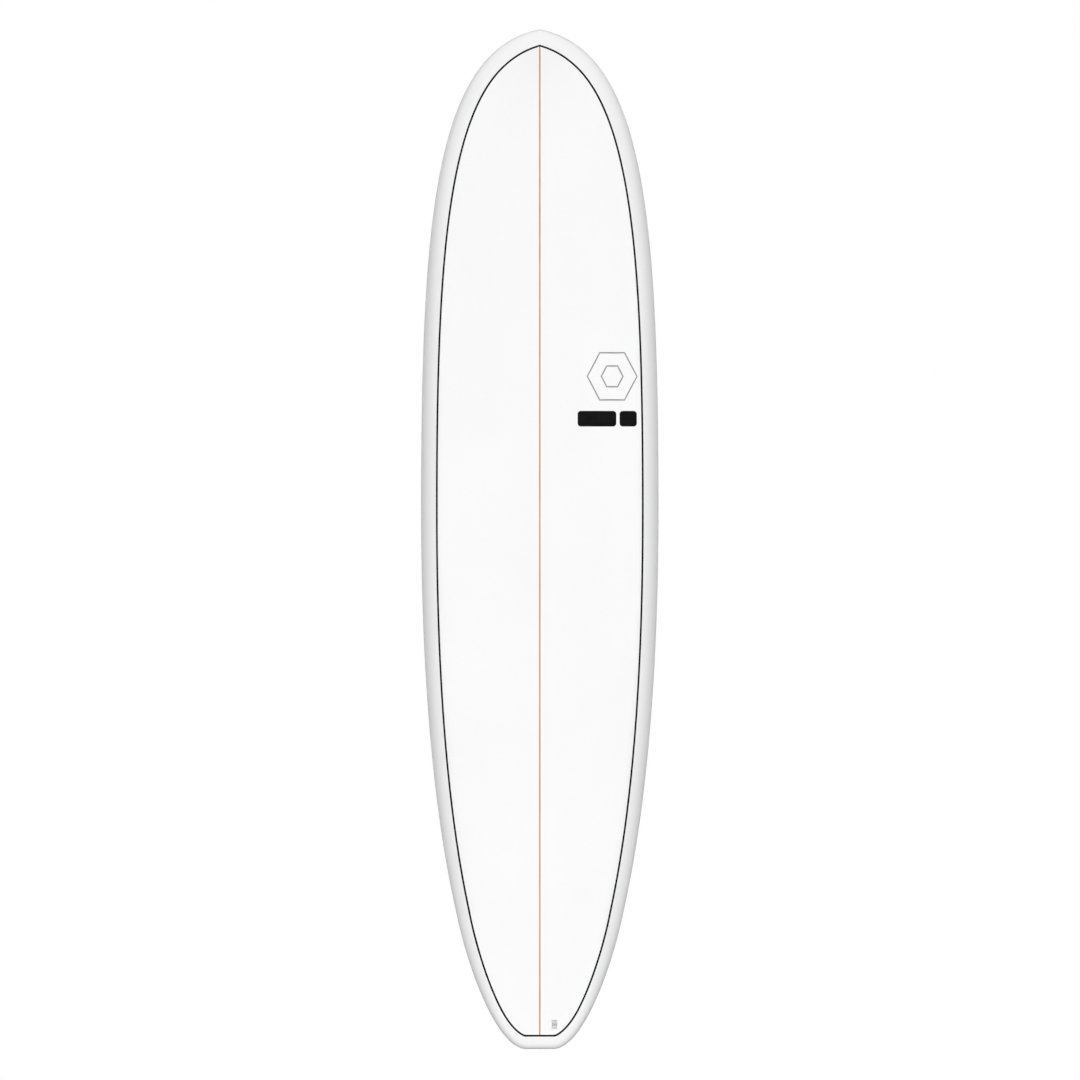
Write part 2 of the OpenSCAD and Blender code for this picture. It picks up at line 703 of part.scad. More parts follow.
module grub_screw(side) {
    color("silver") side_frame(side) translate([0, -grub_depth, grub_z]) rotate([90, 0, 0]) difference() {
        cylinder(d = grub_d, h = grub_l);
        translate([0, 0, -clear]) cylinder(d = socket_d, h = clear + socket_depth, $fn = 6);
    }
}
module left_grub_screw() { grub_screw(-1); }
module right_grub_screw() { grub_screw(1); }

// ---- leash plug
plug_bar_depth = 3;
plug_floor = 2.5;
bar_l = 18;
module plug_well() {
    x = plug_w / 2 - plug_corner;
    y = plug_l / 2 - plug_corner;
    for (i = [-1, 1]) for (j = [-1, 1]) translate([i * x, j * y, 0]) cylinder(r = plug_corner, h = plug_d);
    translate([-x, -plug_l / 2, 0]) cube([2 * x, plug_l, plug_d]);
    translate([-plug_w / 2, -y, 0]) cube([plug_w, 2 * y, plug_d]);
}
module leash_plug() {
    color("lightgray") difference() {
        plug_body();
        on_deck_plug() {
            translate([0, 0, plug_floor - plug_d]) plug_well();
            translate([0, 0, -plug_bar_depth]) rotate([0, 90, 0])
                cylinder(d = bar_d, h = bar_l, center = true);
        }
    }
}
module leash_bar() {
    color("silver") on_deck_plug() translate([0, 0, -plug_bar_depth])
        rotate([0, 90, 0]) cylinder(d = bar_d, h = bar_l, center = true);
}

foam_core_left();
foam_core_right();
stringer();
deck_skin_left();
deck_skin_right();
rail_bottom_skin();
pinline();
center_box_block();
left_box_block();
right_box_block();
leash_plug_block();
center_fin_box();
left_fin_box();
right_fin_box();
center_fin();
center_fin_pin();
center_fin_screw();
center_fin_nut_plate();
left_fin();
right_fin();
left_grub_screw();
right_grub_screw();
leash_plug();
leash_bar();
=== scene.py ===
"""Looks of the longboard surfboard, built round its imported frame.

The shape formulas work in millimetres, in the frame's axes: +Z from tail to nose, the deck faces -Y, the
bottom and the fins face +Y. make_object() turns the points into metres.
"""
import json
import math

import bmesh
import bpy
import numpy as np
from mathutils import Matrix, Vector


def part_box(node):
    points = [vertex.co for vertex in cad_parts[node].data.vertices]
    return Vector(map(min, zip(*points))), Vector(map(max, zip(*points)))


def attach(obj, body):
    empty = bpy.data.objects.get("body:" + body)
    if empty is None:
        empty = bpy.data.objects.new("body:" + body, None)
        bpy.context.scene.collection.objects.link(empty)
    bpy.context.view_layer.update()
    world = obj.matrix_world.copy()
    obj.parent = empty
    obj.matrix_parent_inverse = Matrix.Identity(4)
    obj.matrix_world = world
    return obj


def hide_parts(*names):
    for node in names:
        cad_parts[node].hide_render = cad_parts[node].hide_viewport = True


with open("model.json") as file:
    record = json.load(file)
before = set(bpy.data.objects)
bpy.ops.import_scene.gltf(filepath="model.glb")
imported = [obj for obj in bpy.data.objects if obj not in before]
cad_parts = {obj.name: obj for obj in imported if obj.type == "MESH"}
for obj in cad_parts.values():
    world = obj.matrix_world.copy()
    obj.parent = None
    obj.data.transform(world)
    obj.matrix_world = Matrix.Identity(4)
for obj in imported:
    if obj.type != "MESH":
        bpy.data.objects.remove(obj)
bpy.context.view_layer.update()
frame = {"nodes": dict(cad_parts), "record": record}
scene = bpy.context.scene
MM = 0.001

# ---------------------------------------------------------------- sizes of the board, in millimetres
skin_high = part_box("rail_bottom_skin")[1]
board_l = skin_high.z / MM
half_w = skin_high.x / MM
wide_z = 1310
tail_half = 32.2
tail_arm = 74.5
hip = np.array([200.7, 320.4])
hip_slope = math.radians(78.1)
hip_dir = np.array([math.cos(hip_slope), math.sin(hip_slope)])
hip_arm_low = 117
hip_arm_high = 71.4
side_arm = 628
nose_arm = 717.5
tip_arm = (255.4, 51.2)

tail_rocker = 65
nose_rocker = 120
flat_z = 1120
tail_curve_power = 2.2
nose_curve_power = 2.6
thick_mid = 80
thick_tail = 34
thick_nose = 30
foil_power = 2.4
rail_low = 0.4
rail_reach = 55
rail_reach_tail = 14
rail_reach_nose = 40
zone_tail = 450
reach_start = 0.1
low_reach = 45
low_reach_share = 1.2
crown = 0.2
crown_power = 2.2
belly = 0.06
edge_band = 1.5
tail_face = 10
band_zone = 250

skin_t = 1.2
pin_w = 4.5
pin_inset = 38.2
pin_inset_tail = 32.3
pin_inset_hip = 27
pin_inset_shoulder = 42
pin_inset_nose = 39
tail_zone = 80
tip_zone = 60
hip_inset_power = 1.7
nose_inset_power = 4
half_stringer = 1.8
spine_low = 75
spine_high = board_l - 115
fan = 0.06

# ---------------------------------------------------------------- board surface
CURVES = np.array([
    [(half_stringer, 0), (half_stringer + (tail_half - half_stringer) / 3, 0),
     (tail_half - (tail_half - half_stringer) / 3, 0), (tail_half, 0)],
    [(tail_half, 0), (tail_half + tail_arm, 0), hip - hip_arm_low * hip_dir, hip],
    [hip, hip + hip_arm_high * hip_dir, (half_w, wide_z - side_arm), (half_w, wide_z)],
    [(half_w, wide_z), (half_w, wide_z + nose_arm), (tip_arm[0], board_l - tip_arm[1]), (0, board_l)],
], float)
RIBS_PER_CURVE = (3, 44, 32, 88)
HALVINGS = 34


def mix(a, b, t):
    return a + (b - a) * t


def ease(t):
    t = np.clip(t, 0, 1)
    return t * t * (3 - 2 * t)


def quarter(t):
    """Height of a quarter circle of radius 1 at distance t from its foot."""
    return np.sqrt(1 - (1 - np.minimum(1, t)) ** 2)


def lift(z):
    """Rocker: how far the bottom's middle line rises towards the deck."""
    tail = tail_rocker * np.maximum(0, (flat_z - z) / flat_z) ** tail_curve_power
    nose = nose_rocker * np.maximum(0, (z - flat_z) / (board_l - flat_z)) ** nose_curve_power
    return tail + nose


def bottom_y(z):
    """Height in Y of the bottom's middle line."""
    return tail_rocker + rail_low * thick_tail - lift(z)


def bottom_slope(z):
    return math.atan((bottom_y(z + 1) - bottom_y(z - 1)) / 2)


def thickness(s):
    """Thickness of the board at a place on its spine."""
    tail = mix(thick_mid, thick_tail, np.maximum(0, (wide_z - s) / (wide_z - spine_low)) ** foil_power)
    nose = mix(thick_mid, thick_nose, np.maximum(0, (s - wide_z) / (spine_high - wide_z)) ** foil_power)
    return np.where(s < wide_z, tail, nose)


def reach(z):
    """How far the deck's round reaches in from the edge."""
    tail = mix(rail_reach_tail, rail_reach, ease(z / zone_tail + reach_start))
    nose = mix(rail_reach, rail_reach_nose, ease((z - wide_z) / (board_l - wide_z)))
    return np.where(z < wide_z, tail, nose)


def band(z):
    """Height of the flat band round the edge."""
    return mix(edge_band, tail_face, np.maximum(0, 1 - z / band_zone) ** 2)


def near_end(d, zone):
    """1 at the end of the board, falling to 0 at the zone's far side."""
    return np.maximum(0, 1 - d / zone) ** 2


def inset(z):
    """Distance of the pinline's middle from the outline."""
    tail = mix(pin_inset_hip, pin_inset, 1 - np.maximum(0, 1 - z / wide_z) ** hip_inset_power)
    tail = tail + (pin_inset_tail - pin_inset_hip) * near_end(z, tail_zone)
    nose_share = np.maximum(0, (z - wide_z) / (board_l - wide_z)) ** nose_inset_power
    nose = mix(pin_inset, pin_inset_shoulder, nose_share)
    nose = nose + (pin_inset_nose - pin_inset_shoulder) * near_end(board_l - z, tip_zone)
    return np.where(z < wide_z, tail, nose)


class Ribs:
    """Lines from places q on the half outline to the spine: q runs from 0 at the tail to 4 at the nose."""

    def __init__(self, q):
        q = np.atleast_1d(np.asarray(q, float))
        curve = np.minimum(len(CURVES) - 1, np.floor(q)).astype(int)
        t = (q - curve)[:, None]
        p0, p1, p2, p3 = (CURVES[curve, k] for k in range(4))
        self.edge = (1 - t) ** 3 * p0 + 3 * (1 - t) ** 2 * t * p1 + 3 * (1 - t) * t ** 2 * p2 + t ** 3 * p3
        self.edge[:, 0] = np.maximum(self.edge[:, 0], half_stringer)
        along = (1 - t) ** 2 * (p1 - p0) + 2 * (1 - t) * t * (p2 - p1) + t ** 2 * (p3 - p2)
        along /= np.linalg.norm(along, axis=1)[:, None]
        x, z = self.edge[:, 0], self.edge[:, 1]
        self.spine = mix(spine_low, spine_high, z / board_l) + fan * (x - half_stringer)
        across = np.stack([half_stringer - x, self.spine - z], 1)
        self.length = np.linalg.norm(across, axis=1)
        self.direction = across / self.length[:, None]
        self.slant = self.direction[:, 1] * along[:, 0] - self.direction[:, 0] * along[:, 1]

    def surface(self, d, deck):
        """Points of the deck or the bottom at distances d from the edge: one row per rib."""
        d = np.asarray(d, float)
        p = self.edge[:, None, :] + self.direction[:, None, :] * d[..., None]
        edge_z = self.edge[:, 1][:, None]
        t = thickness(self.spine)[:, None]
        low = rail_low * t
        b = band(edge_z) / 2
        from_spine = np.maximum(0, 1 - d / self.length[:, None])
        if deck:
            shape = mix(quarter(d / reach(edge_z)), 1 - from_spine ** crown_power, crown)
            y = -b - (t - low - b) * shape
        else:
            roll = np.minimum(low_reach, low_reach_share * reach(edge_z))
            shape = mix(quarter(d / roll), 1 - from_spine ** 2, belly)
            y = b + (low - b) * shape
        return np.stack([p[..., 0], bottom_y(p[..., 1]) - low + y, p[..., 1]], -1)


def surface_y(x, z, deck):
    """Height in Y of the deck or the bottom over any points, found by halving along the outline."""
    x, z = (np.atleast_1d(np.asarray(v, float)) for v in np.broadcast_arrays(np.abs(x), z))
    x = np.maximum(x, half_stringer)
    low, high = np.zeros(x.shape), np.full(x.shape, len(CURVES) - 0.001)
    for _ in range(HALVINGS):
        middle = (low + high) / 2
        ribs = Ribs(middle)
        off = np.stack([x, z], 1) - ribs.edge
        beyond = ribs.direction[:, 0] * off[:, 1] - ribs.direction[:, 1] * off[:, 0] < 0
        low, high = np.where(beyond, middle, low), np.where(beyond, high, middle)
    ribs = Ribs((low + high) / 2)
    d = np.linalg.norm(np.stack([x, z], 1) - ribs.edge, axis=1)
    return ribs.surface(d[:, None], deck)[:, 0, 1]


# ---------------------------------------------------------------- mesh helpers
def make_object(name, points, faces, sharp_deg=35):
    """A mesh object from points in millimetres. Closed meshes get their normals turned outwards."""
    mesh = bpy.data.meshes.new(name)
    mesh.from_pydata((np.asarray(points, float) * MM).tolist(), [], faces)
    made = bmesh.new()
    made.from_mesh(mesh)
    bmesh.ops.remove_doubles(made, verts=made.verts, dist=0.002 * MM)
    bmesh.ops.dissolve_degenerate(made, edges=made.edges, dist=0.001 * MM)
    if not any(e.is_boundary for e in made.edges):
        bmesh.ops.recalc_face_normals(made, faces=made.faces)
    made.to_mesh(mesh)
    made.free()
    obj = bpy.data.objects.new(name, mesh)
    scene.collection.objects.link(obj)
    shade(obj, sharp_deg)
    return obj


def shade(obj, sharp_deg=35):
    obj.data.shade_smooth()
    obj.data.set_sharp_from_angle(angle=math.radians(sharp_deg))


def apply_modifiers(obj, sharp_deg=35):
    """Replaces the object's mesh with what its modifiers make of it."""
    bpy.context.view_layer.update()
    evaluated = obj.evaluated_get(bpy.context.evaluated_depsgraph_get())
    mesh = bpy.data.meshes.new_from_object(evaluated)
    obj.modifiers.clear()
    obj.data = mesh
    shade(obj, sharp_deg)


def combine(obj, others, operation="DIFFERENCE"):
    """Cuts the other objects from obj, or joins them to it, and removes them."""
    for other in others:
        step = obj.modifiers.new("combine", "BOOLEAN")
        step.object = other
        step.operation = operation
        step.solver = "EXACT"
    apply_modifiers(obj)
    for other in others:
        bpy.data.objects.remove(other)
    return obj


def bevel(obj, width, segments=2, limit_deg=40):
    step = obj.modifiers.new("bevel", "BEVEL")
    step.width = width * MM
    step.segments = segments
    step.limit_method = "ANGLE"
    step.angle_limit = math.radians(limit_deg)
    apply_modifiers(obj)
    return obj


def thicken(obj, depth):
    """Gives an open surface a thickness, inwards from its outer side."""
    step = obj.modifiers.new("skin", "SOLIDIFY")
    step.thickness = depth * MM
    step.offset = -1
    apply_modifiers(obj)
    return obj


def grid_faces(rows, columns, flip=False):
    faces = []
    for i in range(rows - 1):
        for j in range(columns - 1):
            a = i * columns + j
            face = (a, a + 1, a + columns + 1, a + columns)
            faces.append(face[::-1] if flip else face)
    return faces


def loft_faces(rings, size):
    """Faces of a closed body from rings of points, with a face at each end."""
    faces = [tuple(range(size))[::-1], tuple((rings - 1) * size + k for k in range(size))]
    for i in range(rings - 1):
        for j in range(size):
            k = (j + 1) % size
            faces.append((i * size + j, i * size + k, (i + 1) * size + k, (i + 1) * size + j))
    return faces


def placed(points, place):
    """Points in a local frame, moved to the board's frame."""
    points = np.asarray(points, float)
    m = np.array(place)
    return points @ m[:3, :3].T + m[:3, 3]


def rounded_rect(width, length, radius, steps=8):
    """Outline in two axes, centred: width along the first, length along the second."""
    corners = ((1, 1, 0), (-1, 1, 90), (-1, -1, 180), (1, -1, 270))
    points = []
    for sx, sy, start in corners:
        for k in range(steps + 1):
            a = math.radians(start + 90 * k / steps)
            points.append((sx * (width / 2 - radius) + radius * math.cos(a),
                           sy * (length / 2 - radius) + radius * math.sin(a)))
    return points


def circle(radius, steps=48):
    return [(radius * math.cos(2 * math.pi * k / steps), radius * math.sin(2 * math.pi * k / steps))
            for k in range(steps)]


def prism(name, outline, low, high, place, axes=(0, 2, 1), shift=(0, 0)):
    """A closed body of one outline. axes says where the outline's two axes and the depth go."""
    rings = []
    for depth in (low, high):
        for u, v in outline:
            p = [0, 0, 0]
            p[axes[0]] = u + shift[0]
            p[axes[1]] = v + shift[1]
            p[axes[2]] = depth
            rings.append(p)
    return make_object(name, placed(rings, place), loft_faces(2, len(outline)))


def lathe(name, profile, place, steps=64):
    """A closed body turned round the local Z axis from (radius, height) points that start and end on it."""
    turns = np.linspace(0, 2 * math.pi, steps, endpoint=False)
    rings = [[(r * math.cos(a), r * math.sin(a), z) for a in turns] for r, z in profile]
    return make_object(name, placed(np.reshape(rings, (-1, 3)), place), loft_faces(len(profile), steps))


def on_bottom(x, z, turn=0):
    """Frame on the bottom: local +Y points out of the board, local +Z along it towards the nose."""
    y = bottom_y(z) if x == 0 else surface_y(x, z, False)[0]
    return (Matrix.Translation((x, float(y), z)) @ Matrix.Rotation(-bottom_slope(z), 4, "X")
            @ Matrix.Rotation(turn, 4, "Y"))


def on_deck(x, z, step=4):
    """Frame on the deck: local +Z points out of the board, local +Y along it towards the nose."""
    xs = [x, x, x, x + step, x - step]
    zs = [z, z + step, z - step, z, z]
    y, nose, tail, right, left = surface_y(xs, zs, True)
    tilt = math.atan((nose - tail) / (2 * step))
    lean = math.atan((right - left) / (2 * step))
    return (Matrix.Translation((x, float(y), z)) @ Matrix.Rotation(math.radians(90) - tilt, 4, "X")
            @ Matrix.Rotation(lean, 4, "Y"))


def cap_over(x_half, z_half, x, z, rows=24, columns=5, height=30):
    """The space just above the bottom over a rectangle. Cut from a fitting, it leaves that flush."""
    xs = np.linspace(x - x_half, x + x_half, columns)
    zs = np.linspace(z - z_half, z + z_half, rows)
    grid_z, grid_x = (g.ravel() for g in np.meshgrid(zs, xs, indexing="ij"))
    low = np.stack([grid_x, surface_y(grid_x, grid_z, False) - flush, grid_z], 1)
    high = low + [0, height, 0]
    count = len(low)
    faces = grid_faces(rows, columns)
    faces += [tuple(count + k for k in f[::-1]) for f in faces]
    first = list(range(columns))
    right = [i * columns + columns - 1 for i in range(1, rows)]
    last = [(rows - 1) * columns + k for k in range(columns - 2, -1, -1)]
    left = [i * columns for i in range(rows - 2, 0, -1)]
    rim = first + right + last + left
    for k, a in enumerate(rim):
        b = rim[(k + 1) % len(rim)]
        faces.append((a, b, b + count, a + count))
    return make_object("cap", np.concatenate([low, high]), faces)


# ---------------------------------------------------------------- materials
def node(material, kind, inputs=None, **settings):
    made = material.node_tree.nodes.new(kind)
    for key, value in settings.items():
        setattr(made, key, value)
    for key, value in (inputs or {}).items():
        if isinstance(value, bpy.types.NodeSocket):
            material.node_tree.links.new(value, made.inputs[key])
        else:
            made.inputs[key].default_value = value
    return made


def tone(value, tint=(1, 1, 1)):
    return (value * tint[0], value * tint[1], value * tint[2], 1)


def noise(material, scale, detail=3.0, stretch=(1, 1, 1), rough=0.5):
    place = node(material, "ShaderNodeTexCoord")
    mapped = node(material, "ShaderNodeMapping", {"Vector": place.outputs["Object"], "Scale": stretch})
    made = node(material, "ShaderNodeTexNoise",
                {"Vector": mapped.outputs["Vector"], "Scale": scale, "Detail": detail, "Roughness": rough})
    return made.outputs["Fac"]


def spread(material, value, low, high, start=0.3, end=0.7):
    made = node(material, "ShaderNodeMapRange",
                {"Value": value, "From Min": start, "From Max": end, "To Min": low, "To Max": high})
    return made.outputs["Result"]


def blend_tones(material, factor, a, b):
    made = node(material, "ShaderNodeMix", data_type="RGBA")
    material.node_tree.links.new(factor, made.inputs["Factor"])
    made.inputs[6].default_value = a
    made.inputs[7].default_value = b
    return made.outputs[2]


def finish_of(name, tones, tone_scale, roughness, rough_scale, bump_scale, bump_depth, stretch=(1, 1, 1),
              **shader):
    """A surface with two near tones, uneven roughness and a fine grain. Depths are in metres."""
    material = bpy.data.materials.new(name)
    material.use_nodes = True
    bsdf = material.node_tree.nodes["Principled BSDF"]
    for key, value in shader.items():
        bsdf.inputs[key.replace("_", " ")].default_value = value
    link = material.node_tree.links.new
    patches = spread(material, noise(material, tone_scale, stretch=stretch), 0, 1)
    link(blend_tones(material, patches, *tones), bsdf.inputs["Base Color"])
    wear = noise(material, rough_scale, stretch=stretch)
    link(spread(material, wear, *roughness), bsdf.inputs["Roughness"])
    grain = noise(material, bump_scale, detail=2.0, stretch=stretch)
    bump = node(material, "ShaderNodeBump", {"Height": grain, "Strength": 1.0, "Distance": bump_depth})
    link(bump.outputs["Normal"], bsdf.inputs["Normal"])
    return material


def wood_finish(name):
    """Pale timber under a clear gloss coat, with its grain along the board."""
    material = bpy.data.materials.new(name)
    material.use_nodes = True
    bsdf = material.node_tree.nodes["Principled BSDF"]
    link = material.node_tree.links.new
    fibre = noise(material, 380, detail=4, stretch=(1, 1, 0.02))
    board = noise(material, 26, detail=3, stretch=(1, 1, 0.12))
    light = (0.60, 0.37, 0.17, 1)
    dark = (0.46, 0.25, 0.09, 1)
    pale = blend_tones(material, spread(material, fibre, 0, 1), light, dark)
    shift = node(material, "ShaderNodeMix", data_type="RGBA", blend_type="MULTIPLY")
    link(spread(material, board, 0, 0.5), shift.inputs["Factor"])
    link(pale, shift.inputs[6])
    shift.inputs[7].default_value = (0.90, 0.84, 0.78, 1)
    link(shift.outputs[2], bsdf.inputs["Base Color"])
    link(spread(material, fibre, 0.30, 0.45), bsdf.inputs["Roughness"])
    bump = node(material, "ShaderNodeBump", {"Height": fibre, "Strength": 1.0, "Distance": 0.00002})
    link(bump.outputs["Normal"], bsdf.inputs["Normal"])
    bsdf.inputs["Coat Weight"].default_value = 0.6
    bsdf.inputs["Coat Roughness"].default_value = 0.08
    return material


GLOSS = {"Coat_Weight": 1.0, "Coat_Roughness": 0.06, "Specular_IOR_Level": 0.3}
INK = {"Specular_IOR_Level": 0.12}
FINISH = {
    "deck_gloss": finish_of("deck_white", (tone(0.925), tone(0.905)), 3, (0.16, 0.24), 14, 60, 0.00001,
                            **GLOSS),
    # rail_gloss is a touch greyer than deck_gloss: painted shade that darkens the rails and the whole
    # bottom skin, standing in for the rails turning away from the light
    "rail_gloss": finish_of("rail_white_painted_shade", (tone(0.885), tone(0.868)), 4, (0.14, 0.22), 14, 60, 0.00001,
                            **GLOSS),
    "pinline_resin": finish_of("pinline_black", (tone(0.003), tone(0.006)), 60, (0.30, 0.42), 80, 400,
                               0.00001, **INK),
    "wood": wood_finish("stringer_wood"),
    "foam": finish_of("foam_white", (tone(0.86, (1, 0.99, 0.94)), tone(0.78, (1, 0.98, 0.91))), 8,
                      (0.75, 0.92), 30, 900, 0.0003),
    "dense_foam": finish_of("dense_foam", (tone(0.72, (1, 0.92, 0.66)), tone(0.62, (1, 0.90, 0.62))), 20,
                            (0.7, 0.9), 60, 1400, 0.0001),
    "box_plastic": finish_of("box_plastic", (tone(0.80), tone(0.74)), 30, (0.32, 0.46), 90, 1200, 0.00002),
    "plug_plastic": finish_of("plug_plastic", (tone(0.93), tone(0.91)), 60, (0.30, 0.42), 120, 1600,
                              0.00002),
    "fin_composite": finish_of("fin_black", (tone(0.018), tone(0.032)), 22, (0.24, 0.36), 60, 700, 0.00004,
                               stretch=(1, 1, 0.35), Coat_Weight=0.2, Coat_Roughness=0.12),
    "steel": finish_of("screw_steel", (tone(0.70), tone(0.60)), 240, (0.24, 0.38), 500, 2600, 0.00001,
                       Metallic=0.4),
    "brass": finish_of("pin_brass", ((0.72, 0.52, 0.22, 1), (0.60, 0.42, 0.17, 1)), 200, (0.26, 0.40), 500,
                       2600, 0.00001, Metallic=0.5),
}
# Grey of painted shade for the inside of the leash plug's well, which is the same white plastic as the rest
CUP_PAINTED_SHADE = finish_of("cup_painted_shade", (tone(0.66), tone(0.58)), 60, (0.40, 0.55), 120, 1600, 0.00002)
INK_GREY = finish_of("ink_grey", (tone(0.22), tone(0.26)), 40, (0.30, 0.42), 90, 500, 0.000005, **INK)
INK_BLACK = finish_of("ink_black", (tone(0.003), tone(0.006)), 40, (0.30, 0.42), 90, 500, 0.000005, **INK)


def dress(obj, slot, *nodes, body="root", material=None):
    """Gives a piece the material of its slot and its body, and hides the CAD nodes it stands for."""
    obj.data.materials.clear()
    obj.data.materials.append(material or FINISH[slot])
    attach(obj, body)
    if nodes:
        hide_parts(*nodes)
    return obj


def paint_well_shade(obj, place, depth, material):
    """Paints shade into a recess: gives the faces that lie deeper than this in a local frame their own
    darker material of painted shade.
    """
    obj.data.materials.append(material)
    inside = place.inverted()
    for face in obj.data.polygons:
        if (inside @ (face.center / MM)).z < -depth:
            face.material_index = 1


# ---------------------------------------------------------------- skins, pinline and stringer
RIB_Q = np.concatenate([k + np.arange(n) / n for k, n in enumerate(RIBS_PER_CURVE)] + [[len(CURVES)]])
RIBS = Ribs(RIB_Q)


def pin_distance(aside):
    """Distances along the ribs to a line beside the pinline's middle, which never dips at the tail end."""
    edge_z = RIBS.edge[:, 1]
    rise = RIBS.direction[:, 1]
    level = np.where(rise > 0, (pin_inset_tail + aside - edge_z) / np.where(rise > 0, rise, 1), 0)
    return np.maximum((inset(edge_z) + aside) / RIBS.slant, level)[:, None]


pin_out = pin_distance(-pin_w / 2)
pin_in = pin_distance(pin_w / 2)
spine_d = RIBS.length[:, None]
roll_d = np.minimum(low_reach, low_reach_share * reach(RIBS.edge[:, 1]))[:, None]
TO_DECK = (0, -1, 0)
TO_BOTTOM = (0, 1, 0)


def arc_steps(n):
    """Shares of a distance that follow a quarter circle evenly, from 0 to 1."""
    return 1 - np.cos(np.linspace(0, math.pi / 2, n + 1))


def with_middle(grid, last_column):
    """Adds the points in the middle plane: before the first rib, after the last and beside the keel."""
    def flat(points):
        return points * [0, 1, 1]
    grid = np.concatenate([flat(grid[:1]), grid, flat(grid[-1:])])
    return np.concatenate([grid, flat(grid[:, -1:])], axis=1) if last_column else grid


def both_sides(name, grid):
    """The grid and its mirror image as one surface, sewn in the middle plane."""
    rows, columns = grid.shape[:2]
    right = grid.reshape(-1, 3)
    left = right * [-1, 1, 1]
    faces = grid_faces(rows, columns)
    mirrored = [tuple(len(right) + k for k in f[::-1]) for f in faces]
    return make_object(name, np.concatenate([right, left]), faces + mirrored)


def face_outwards(obj, towards):
    """Turns an open surface over if the face that reaches furthest towards that side faces away from it."""
    axis = Vector(towards)
    outer = max(obj.data.polygons, key=lambda f: f.center.dot(axis))
    if outer.normal.dot(axis) < 0:
        obj.data.flip_normals()
    return obj


def rail_grid():
    deck = RIBS.surface(pin_out * arc_steps(20)[::-1], True)
    roll = RIBS.surface(roll_d * arc_steps(16), False)
    field = RIBS.surface(mix(roll_d, spine_d, np.linspace(0, 1, 17)[1:]), False)
    edge = [mix(deck[:, -1:], roll[:, :1], t) for t in (0.25, 0.5, 0.75)]
    return np.concatenate([deck, *edge, roll, field], axis=1)


def deck_grid():
    return RIBS.surface(mix(pin_in, spine_d, np.linspace(0, 1, 27) ** 1.5), True)


def pin_grid():
    return RIBS.surface(mix(pin_out, pin_in, np.linspace(0, 1, 4)), True)


def stringer_piece():
    """A plate from pinline to pinline: its top follows the deck, its foot stands on the bottom skin."""
    ends = [(Ribs(0), pin_in[0], 1), (Ribs(len(CURVES)), pin_in[-1], -1)]
    paths = []
    for deck in (True, False):
        low_end, high_end = [
            rib.surface(np.linspace(start[0], rib.length[0], 12)[None, :], deck)[0][::way]
            for rib, start, way in ends]
        middle = RIBS.surface(spine_d, deck)[1:-1, 0]
        paths.append(np.concatenate([low_end, middle, high_end]))
    top, foot = paths
    foot = foot - [0, skin_t, 0]
    rings = []
    for a, b in zip(top, foot):
        for x, p in ((half_stringer, a), (-half_stringer, a), (-half_stringer, b), (half_stringer, b)):
            rings.append((x, p[1], p[2]))
    return make_object("stringer", rings, loft_faces(len(top), 4))


def deck_field(name, grid, way):
    """One of the two deck fields, as an open surface."""
    return make_object(name, grid.reshape(-1, 3) * [way, 1, 1], grid_faces(*grid.shape[:2]))


rail_surface = both_sides("rail_bottom_skin", with_middle(rail_grid(), True))
rail_skin = thicken(face_outwards(rail_surface, TO_BOTTOM), skin_t)
pin_surface = both_sides("pinline", with_middle(pin_grid(), False))
pinline = thicken(face_outwards(pin_surface, TO_DECK), skin_t)
deck_points = deck_grid()
deck_right = thicken(face_outwards(deck_field("deck_skin_right", deck_points, 1), TO_DECK), skin_t)
deck_left = thicken(face_outwards(deck_field("deck_skin_left", deck_points, -1), TO_DECK), skin_t)
stringer = stringer_piece()

# ---------------------------------------------------------------- centre fin box and fin
box_z = 300
box_w = 26
box_l = 267
box_d = 24
box_corner = 8
slot_w = 10
slot_l = 254
slot_d = 19.5
track_w = 18.5
track_top = 7.2
track_h = 5.2
mouth_l = 19
flush = 0.1
cap_share = 0.6
seam = 0.12
above = 6
skin_cut = 12
box_edge = 0.35
around = 12
under = 8
pocket_top = 10
CENTER = on_bottom(0, box_z)


def fin_box(name, place, width, length, depth, corner, cap, cuts):
    """A moulded box, sanded flush with the bottom, with its cuts and softened edges."""
    box = prism(name, rounded_rect(width, length, corner), -depth, above, place)
    combine(box, [*cuts, cap])
    return bevel(box, box_edge)


def skin_hole(place, width, length, corner, depth):
    """The hole in the bottom skin round a box, one seam larger than the box."""
    outline = rounded_rect(width + 2 * seam, length + 2 * seam, corner + seam)
    return prism("hole", outline, -depth, above, place)


center_box = fin_box(
    "center_fin_box", CENTER, box_w, box_l, box_d, box_corner,
    cap_over(box_w, box_l * cap_share, 0, box_z),
    [prism("slot", rounded_rect(slot_w, slot_l, slot_w * 0.3), -slot_d, above + 1, CENTER),
     prism("track", rounded_rect(track_w, slot_l - 0.01, 0.6), -track_top - track_h, -track_top, CENTER),
     prism("mouth", rounded_rect(track_w, mouth_l, 2), -track_top - 0.01, above + 1, CENTER)])

fin_base = 150
fin_h = 178
fin_t = 9.4
tab_w = 9.4
tab_d = 19
tab_sink = 0.5
blade_sink = 2
pin_depth = track_top + track_h / 2
pin_back = 7
pin_d = 4.76
tongue_l = 17
tongue_root = 6
tongue_top = 2
tongue_low = 6.8
screw_z = fin_base / 2 + tongue_l / 2
screw_hole_d = 4.5
FIN_LEAD = ((1, 0), (0.72, 0.42), (-0.05, 0.97), (-1.30, 1))
FIN_TRAIL = ((-1, 0), (-0.80, 0.30), (-0.95, 0.72), (-1.42, 0.97))
FOIL = (1.56, -0.338, -2.392, 1.17)
tail_edge = 0.4
tip_thin = 0.32
tip_start = 0.86
tip_least = 0.35
heart_share = 0.45
span_power = 1.6


def foil(c):
    """Half thickness of a fin's section at share c of its chord, for a half thickness of 1."""
    return FOIL[0] * np.sqrt(c) + FOIL[1] * c + FOIL[2] * c ** 2 + FOIL[3] * c ** 3


